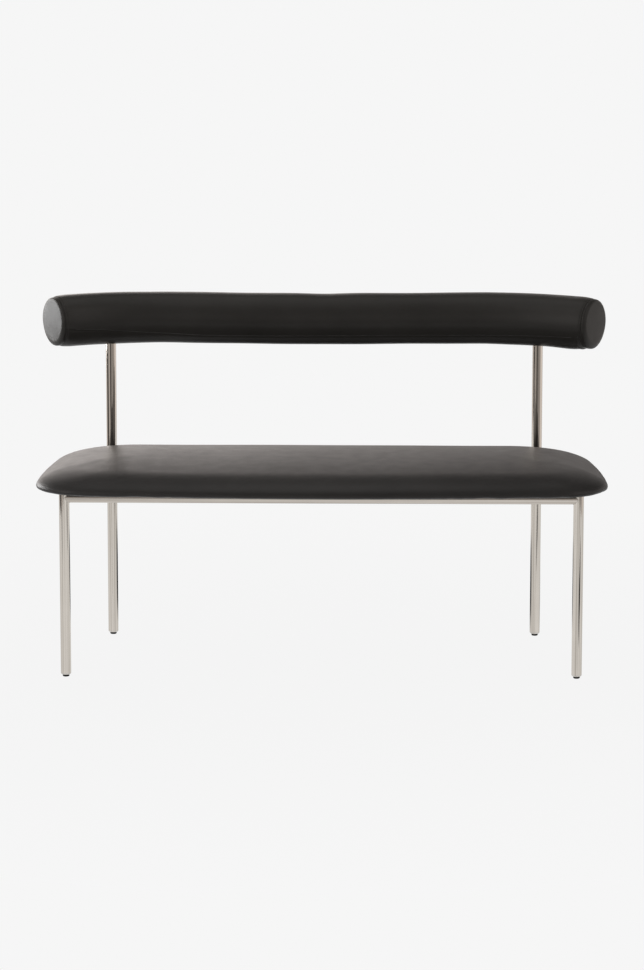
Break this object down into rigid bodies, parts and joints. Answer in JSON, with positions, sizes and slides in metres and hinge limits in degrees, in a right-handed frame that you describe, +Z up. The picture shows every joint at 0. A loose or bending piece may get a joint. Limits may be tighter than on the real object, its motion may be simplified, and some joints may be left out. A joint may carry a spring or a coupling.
{
  "type": "upholstered bench",
  "caption": "Two-seat upholstered bench with a crowned leather seat, a curved bolster backrest on two posts and slim polished steel tube legs with levelling feet.",
  "frame": {"origin": "on the floor, under the middle of the bench's bounding box", "axes": "+X along the bench to the right as seen from the front, +Y to the back, +Z up"},
  "size_m": [1.3828, 0.645, 0.859],
  "materials": {
    "polished_steel": "polished",
    "plated_steel": "satin",
    "leather": "satin",
    "nylon": "matte",
    "plywood": "matte",
    "foam": "matte",
    "dust_cloth": "matte"
  },
  "bodies": {
    "bench": {"front_leg_left": "polished_steel", "front_leg_right": "polished_steel", "rear_post_left": "polished_steel", "rear_post_right": "polished_steel", "front_rail": "polished_steel", "rear_rail": "polished_steel", "side_rail_left": "polished_steel", "side_rail_right": "polished_steel", "centre_rail": "polished_steel", "leg_top_caps": "polished_steel", "leg_end_plugs": "polished_steel", "seat_mount_plates": "plated_steel", "seat_screws": "plated_steel", "seat_insert_nuts": "plated_steel", "seat_board": "plywood", "seat_foam": "foam", "seat_cover": "leather", "seat_underside_cloth": "dust_cloth", "seat_staples": "plated_steel", "back_core_tube": "plated_steel", "back_sockets": "plated_steel", "socket_set_screws": "plated_steel", "core_end_plugs": "plated_steel", "back_end_board_left": "plywood", "back_end_board_right": "plywood", "end_board_screws": "plated_steel", "back_foam": "foam", "back_cover": "leather", "back_end_cover_left": "leather", "back_end_cover_right": "leather"},
    "foot_front_left": {"glide_pad_front_left": "nylon", "glide_stud_front_left": "plated_steel"},
    "foot_front_right": {"glide_pad_front_right": "nylon", "glide_stud_front_right": "plated_steel"},
    "foot_rear_left": {"glide_pad_rear_left": "nylon", "glide_stud_rear_left": "plated_steel"},
    "foot_rear_right": {"glide_pad_rear_right": "nylon", "glide_stud_rear_right": "plated_steel"}
  },
  "joints": [
    {"name": "level_front_left", "type": "slide", "parent": "bench", "child": "foot_front_left", "axis": [0, 0, -1], "range_m": [0, 0.008]},
    {"name": "level_front_right", "type": "slide", "parent": "bench", "child": "foot_front_right", "axis": [0, 0, -1], "range_m": [0, 0.008]},
    {"name": "level_rear_left", "type": "slide", "parent": "bench", "child": "foot_rear_left", "axis": [0, 0, -1], "range_m": [0, 0.008]},
    {"name": "level_rear_right", "type": "slide", "parent": "bench", "child": "foot_rear_right", "axis": [0, 0, -1], "range_m": [0, 0.008]}
  ]
}
